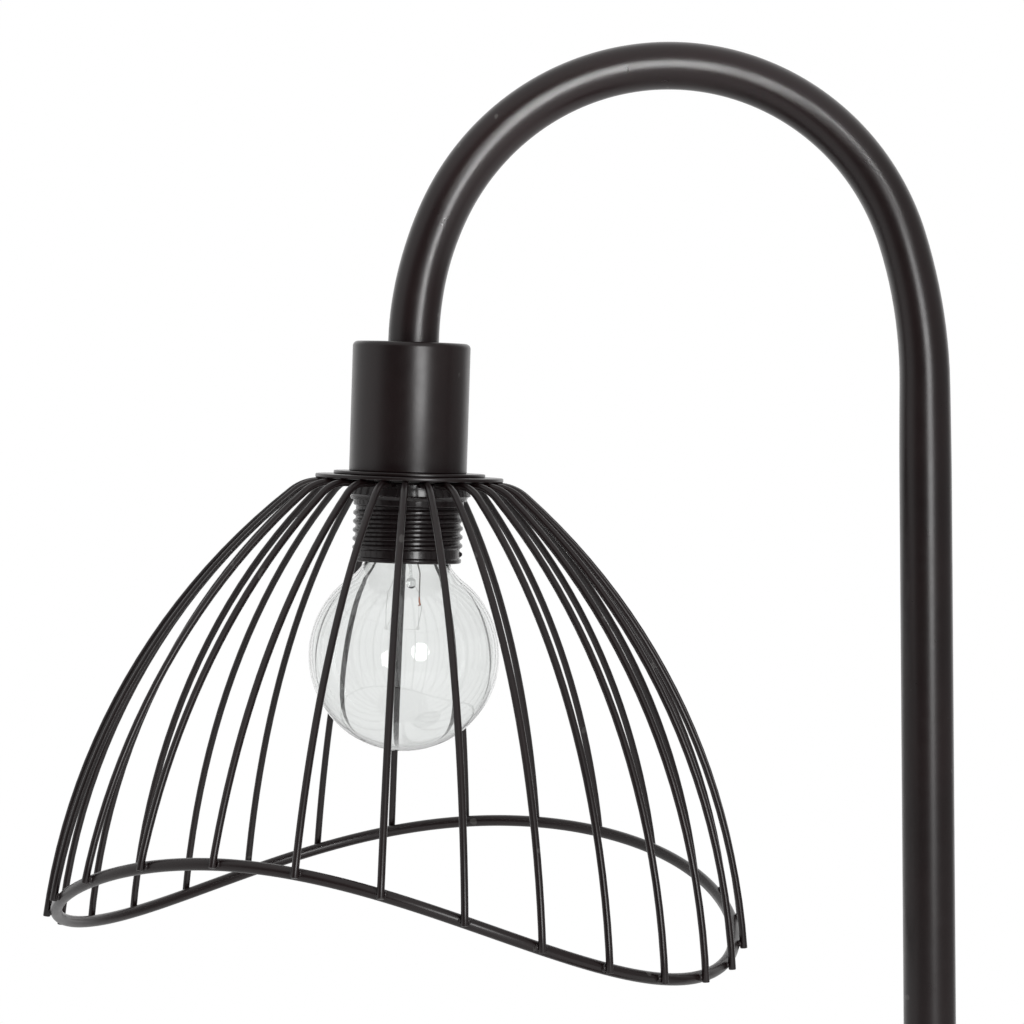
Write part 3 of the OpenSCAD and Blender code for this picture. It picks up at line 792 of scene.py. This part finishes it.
class LAMP_OT_shade(bpy.types.Operator):
    """Makes the shade: top plate, bent ribs, wavy rim and the welds between them"""

    bl_idname = "lamp.shade"
    bl_label = "Wire shade"

    def plate(self, s, form, head):
        """The flat ring that the ribs hang from."""
        top = form.plate_low + s.plate_t - s.plate_slack
        edge = s.plate_d / 2
        disc = turned(rounded([(edge, form.plate_low, 0.0003), (edge, top, 0.0003),
                               (s.hole_r, top), (s.hole_r, form.plate_low)], 4), 160)
        finish_piece(disc, "top_plate", "shade", "black_coat", ["shade_plate"], head)

    def ribs(self, s, form, head):
        """Every rib is one wire: a run under the plate, a tight bend and a long curve."""
        bm = bmesh.new()
        below_rim = s.rim_d * 0.42
        for i in range(s.ribs):
            t = form.rib_dir(i)
            last = form.dome_turn(form.rim_z(t) - below_rim)
            way = bent_way((s.start_r, 0, form.rib_z), pi / 2,
                           [(0, s.run_r - s.start_r, 1), (s.shoulder_r, s.shoulder_turn, 8),
                            (s.dome_r, last - s.shoulder_turn, 22)])
            turn = Matrix.Rotation(t, 4, "Z")
            sweep(bm, [turn @ upright(at, heading) for _, at, heading in way], s.rib_d / 2, 16)
        ends = [edge for edge in bm.edges if edge.calc_face_angle(0) > radians(60)]
        bmesh.ops.bevel(bm, geom=ends, offset=0.00018, segments=2, profile=0.5,
                        affect="EDGES", material=-1, offset_type="OFFSET")
        finish_piece(bm, "bent_ribs", "shade", "black_coat", ["shade_ribs"], head)

    def rim(self, s, form, head):
        """The rim wire."""
        bm = bmesh.new()
        sweep(bm, frames_along(form.rim_points(288), True), s.rim_d / 2, 24, True)
        finish_piece(bm, "rim_wire", "shade", "black_coat", ["shade_rim"], head)

    def welds(self, s, form, head):
        """A small bead on each side of each rib, where it crosses the rim."""
        bm = bmesh.new()
        mean_r, spread, out = 0.00062, 0.00012, 0.0001
        squash = Matrix.Diagonal((0.9, 0.85, 1.25, 1))
        for i in range(s.ribs):
            t = form.rib_dir(i)
            touch = form.on_dome(t, s.rib_d / 2)
            for side in (-1, 1):
                size = mean_r + spread * sin(7.3 * i + side)
                here = touch + side * (s.rib_d / 2 + out) * Vector((-sin(t), cos(t), 0))
                spot = Matrix.Translation(here) @ Matrix.Rotation(t, 4, "Z") @ squash
                bmesh.ops.create_icosphere(bm, subdivisions=2, radius=size, matrix=spot)
        finish_piece(bm, "rim_welds", "shade", "black_coat", (), head)

    def execute(self, context):
        s = context.scene.lamp_shade
        form = ShadeForm(s, context.scene.lamp_stand)
        head = head_place()
        for make in (self.plate, self.ribs, self.rim, self.welds):
            make(s, form, head)
        return {"FINISHED"}


class LAMP_OT_bulb(bpy.types.Operator):
    """Blows the clear globe, with its glass mount and its screw cap"""

    bl_idname = "lamp.bulb"
    bl_label = "Bulb"

    def skin(self, b, wall):
        """Half outline of the glass from its lowest point up to the neck, a wall inside."""
        globe = b.globe_d / 2
        middle = -b.globe_drop
        curve = (b.neck_r + b.neck_curve_r,
                 middle + sqrt((globe + b.neck_curve_r) ** 2 - (b.neck_r + b.neck_curve_r) ** 2))
        meet = acos((curve[1] - middle) / (globe + b.neck_curve_r))
        ball = arc_points((0, middle), globe - wall, pi, meet, 96)
        hollow = arc_points(curve, b.neck_curve_r + wall, meet + pi, 1.5 * pi, 16)
        return ball + hollow[1:] + [Vector((b.neck_r - wall, curve[1] + 0.0019))]

    def execute(self, context):
        b = context.scene.lamp_bulb
        head = head_place()
        outer = self.skin(b, 0)
        inner = self.skin(b, b.glass_t)
        glass = turned(outer + inner[::-1], 240, False)
        finish_piece(glass, "globe", "bulb", "clear_glass", ["bulb_glass"], head)
        top = outer[-1][1]
        flare = b.neck_r - b.glass_t - FIT
        slant = Matrix.Shear("XY", 4, (-b.lean, 0))
        slant.translation.x = b.lean * top
        mount = turned(rounded([(0, top), (flare, top), (flare - 0.0004, top - 0.0006),
                                (0.0032, top - 0.0032), (0.0019, top - 0.0042),
                                (0.0016, top - 0.0078, 0.0005),
                                (b.stem_r, top - 0.0088, 0.0003),
                                (b.stem_r, 0.002 - b.button_drop)], 4)
                       + arc_points((0, -b.button_drop), b.button_r,
                                    asin(b.stem_r / b.button_r), pi, 20), 48, False)
        finish_piece(mount, "glass_mount", "bulb", "clear_glass", ["bulb_mount"], head @ slant)
        rim_r, core_r = 0.0085, 0.00645
        rim_in, core_in = 0.0081, 0.0060
        low, high = -0.0136, 0.0084
        cap = turned(rounded([(rim_r, low, 0.0002), (rim_r, -0.0101, 0.0008),
                              (core_r, -0.0082, 0.0006), (core_r, high, 0.0004),
                              (core_in, high), (core_in, -0.0098), (rim_in, -0.0104),
                              (rim_in, low)]), 128)
        half = 0.0013
        section = rounded([(-0.0003, -half), (0, -half, 0.0005), (0.0005, 0, 0.0006),
                           (0, half, 0.0005), (-0.0003, half)], 4)
        first, turns = 0.0063, 4.2
        helical_ridge(cap, section, core_r, first, b.cap_pitch, turns, 72)
        finish_piece(cap, "screw_cap", "bulb", "cap_metal", ["bulb_cap"], head)
        return {"FINISHED"}


class LAMP_OT_filament(bpy.types.Operator):
    """Draws the lead wires, the hooked supports and the coiled filament in the bulb"""

    bl_idname = "lamp.filament"
    bl_label = "Filament"
    eye_r = 0.0003
    support_r = 0.00004
    filament_r = 0.000014
    coil_r = 0.00004
    coil_pitch = 0.00012
    coil_steps = 7

    def wire(self, name, routes, radius, finish, nodes, head, sides=8, slot=None):
        """One piece of several wires, each through its own points."""
        bm = bmesh.new()
        for route in routes:
            sweep(bm, frames_along([Vector(point) for point in route]), radius, sides)
        finish_piece(bm, name, "bulb", finish, nodes, head)

    def eye(self, at):
        """Points of a support's open eye, which the filament hangs in."""
        turns = [pi / 2 + 1.85 * pi * k / 16 for k in range(17)]
        return [Vector(at) + self.eye_r * Vector((cos(t), 0, sin(t))) for t in turns]

    def coil(self, first, last):
        """Points of a fine coil between two places."""
        first, last = Vector(first), Vector(last)
        along = last - first
        side = along.orthogonal().normalized()
        up = along.normalized().cross(side)
        whole = round(along.length / self.coil_pitch) * self.coil_steps
        turns = [2 * pi * k / self.coil_steps for k in range(whole + 1)]
        return [first + along * k / whole + self.coil_r * (cos(t) * side + sin(t) * up)
                for k, t in enumerate(turns)]

    def execute(self, context):
        b = context.scene.lamp_bulb
        head = head_place()
        x, tip = b.lead_x, -b.lead_drop
        top = -b.globe_drop + 0.0285
        off = b.lean * 0.008
        tips = [(off - x, 0, tip), (off + x, 0, tip)]
        leads = [[(s * 0.0016, 0, top), (s * 0.0018, 0, top - 0.004), (off + s * x, 0, top - 0.009),
                  (off + s * x, 0, tip + 0.0016)] for s in (-1, 1)]
        self.wire("lead_wires", leads, b.wire_r, "bulb_wire", ["bulb_leads"], head)
        hooks = [[(off + s * x, 0, tip + 0.0018), (off + s * x, 0, tip + 0.0006),
                  (off + s * (x + 0.0003), 0.0001, tip),
                  (off + s * (x - 0.0002), 0.0004, tip - 0.0002)]
                 for s in (-1, 1)]
        self.wire("lead_tips", hooks, b.wire_r * 1.15, "copper_tip", (), head, slot="bulb_wire")
        low = -b.globe_drop + 0.0065
        eyes = [Vector((-0.0041, -0.002, low)), Vector((0.0025, 0.003, low))]
        button = Vector((b.lean * 0.014, 0, -b.button_drop))
        bends = [[(-0.0009, -0.0004, 0), (-0.0038, -0.0012, 0.0009), (-0.0051, -0.0017, -0.002),
                  (-0.0054, -0.002, -0.006)],
                 [(0.0006, 0.0008, -0.0003), (0.0016, 0.0016, -0.002), (0.0021, 0.0026, -0.006)]]
        arms = [[button + Vector(bend) for bend in arm] + self.eye(eye)
                for arm, eye in zip(bends, eyes)]
        self.wire("support_wires", arms, self.support_r, "bulb_wire", ["bulb_supports"], head, 6)
        hang = [eye - Vector((0, 0, self.eye_r)) for eye in eyes]
        spans = [self.coil(tips[0], hang[0]), self.coil(hang[0], hang[1]),
                 self.coil(hang[1], tips[1])]
        self.wire("coiled_filament", spans, self.filament_r, "bulb_wire", ["bulb_filament"],
                  head, 4)
        return {"FINISHED"}


class LAMP_OT_stage(bpy.types.Operator):
    """Sets the camera, the round key light, the white room and the floor"""

    bl_idname = "lamp.stage"
    bl_label = "Stage"

    def camera(self, scene, s):
        """The camera at the picture's viewpoint."""
        data = bpy.data.cameras.new("camera")
        data.sensor_width = 36
        data.lens = s.lens
        data.clip_start = 0.01
        data.clip_end = 50
        camera = put("camera", data)
        level = Vector((cos(s.yaw), -sin(s.yaw), 0))
        look = Vector((sin(s.yaw) * cos(s.pitch), cos(s.yaw) * cos(s.pitch), sin(s.pitch)))
        raised = level.cross(look)
        right = cos(s.roll) * level + sin(s.roll) * raised
        up = cos(s.roll) * raised - sin(s.roll) * level
        turn = Matrix((right, up, -look)).transposed().to_4x4()
        camera.matrix_world = Matrix.Translation(s.camera) @ turn
        scene.camera = camera

    def key(self, s):
        """A round soft light above the camera's right."""
        data = bpy.data.lights.new("key", "AREA")
        data.shape = "DISK"
        data.size = s.key_d
        data.energy = s.key_glow * pi * pi * s.key_d ** 2 / 4
        key = put("key", data)
        aim = Vector(s.key) - head_place().translation
        key.rotation_euler = aim.to_track_quat("Z", "Y").to_euler()
        key.location = s.key

    def bow(self, scene, s):
        """A bow of small lights that the arch alone mirrors to the camera, as one soft line."""
        lit = bpy.data.collections.new("lit_by_bow")
        lit.objects.link(bpy.data.objects["bent_tube"])
        for i in range(s.bow_count):
            turn = s.bow_first + (s.bow_last - s.bow_first) * i / (s.bow_count - 1)
            at, outward = arch_place(scene.lamp_stand, turn)
            side = s.bow_side * cos(turn)
            front = cos(side) * Vector((0, -1, 0)) + sin(side) * outward
            seen = (Vector(s.camera) - at).normalized()
            way = 2 * front.dot(seen) * front - seen
            data = bpy.data.lights.new("bow_light", "SPOT")
            data.shadow_soft_size = s.bow_r
            data.spot_size = 2 * atan(s.bow_reach / s.bow_far)
            data.spot_blend = 1
            share = s.bow_least + (1 - s.bow_least) * sin(turn - s.bow_dimmest) ** 2
            data.energy = s.bow_glow * share * 4 * pi * pi * s.bow_r ** 2
            light = put("bow_light", data)
            light.rotation_euler = way.to_track_quat("Z", "Y").to_euler()
            light.location = at + s.bow_far * way
            light.light_linking.receiver_collection = lit

    def room(self, scene, s):
        """A white room, darker behind the camera and dimmer on one side."""
        world = bpy.data.worlds.new("room")
        scene.world = world
        g = Graph(world)
        view = g.coords("Generated")

        def towards(direction):
            inputs = {0: view, 1: tuple(Vector(direction).normalized())}
            dot = g.add("ShaderNodeVectorMath", {"operation": "DOT_PRODUCT"}, inputs, "Value")
            return Value(g, dot)

        back = towards((sin(s.yaw), cos(s.yaw), 0)).step(0.5, 0.85)
        low = 1 - towards((0, 0, -1)).step(-0.03, 0.2) * (1 - s.low_part)
        lit = s.near_part + (1 - s.near_part) * back
        dim = towards(s.dim_dir).step(0.5, 0.85)
        lit = lit * (1 - dim) + dim * s.dim_part * low
        dark = towards(s.dark_dir).step(0.68, 0.98)
        lit = lit * (1 - dark) + dark * s.dark_part * low
        lit = lit * s.surround
        seen = Value(g, g.add("ShaderNodeLightPath", output="Is Camera Ray"))
        through = Value(g, g.add("ShaderNodeLightPath", output="Is Transmission Ray"))
        plain = seen.max(through)
        strength = lit * (1 - plain) + plain
        shader = g.add("ShaderNodeBackground", None, {"Color": (1, 1, 1), "Strength": strength})
        g.add("ShaderNodeOutputWorld", None, {"Surface": shader})

    def floor(self, s):
        """A round white floor, which keeps the lamp's shadow."""
        bm = bmesh.new()
        bmesh.ops.create_circle(bm, cap_ends=True, segments=96, radius=s.floor_r)
        floor = put("floor", bm)
        material = bpy.data.materials.new("floor")
        g = Graph(material)
        g.surface(Base_Color=g.mix(g.noise(3, 2), (0.88, 0.88, 0.88), (0.9, 0.9, 0.9)),
                  Roughness=0.8)
        floor.data.materials.append(material)

    def execute(self, context):
        scene = context.scene
        s = scene.lamp_stage
        scene.view_settings.view_transform = "Standard"
        self.camera(scene, s)
        self.key(s)
        self.bow(scene, s)
        self.room(scene, s)
        self.floor(s)
        return {"FINISHED"}


STEPS = (LAMP_OT_frame, LAMP_OT_foot, LAMP_OT_tube, LAMP_OT_cup, LAMP_OT_holder, LAMP_OT_shade,
         LAMP_OT_bulb, LAMP_OT_filament, LAMP_OT_stage)


class LAMP_PT_panel(bpy.types.Panel):
    """Lists the lamp's pieces and sizes"""

    bl_idname = "LAMP_PT_panel"
    bl_label = "Arched wire lamp"
    bl_space_type = "VIEW_3D"
    bl_region_type = "UI"
    bl_category = "Lamp"

    def draw(self, context):
        for step in STEPS:
            self.layout.operator(step.bl_idname)
        for name, group in GROUPS.items():
            box = self.layout.box()
            box.label(text=group.__doc__)
            for prop in group.__annotations__:
                box.prop(getattr(context.scene, name), prop)


def register():
    for name, group in GROUPS.items():
        bpy.utils.register_class(group)
        setattr(bpy.types.Scene, name, bpy.props.PointerProperty(type=group))
    for step in STEPS:
        bpy.utils.register_class(step)
    bpy.utils.register_class(LAMP_PT_panel)


def unregister():
    bpy.utils.unregister_class(LAMP_PT_panel)
    for step in reversed(STEPS):
        bpy.utils.unregister_class(step)
    for name, group in reversed(GROUPS.items()):
        delattr(bpy.types.Scene, name)
        bpy.utils.unregister_class(group)


def main():
    register()
    for step in STEPS:
        group, name = step.bl_idname.split(".")
        getattr(getattr(bpy.ops, group), name)()


if __name__ == "__main__":
    main()
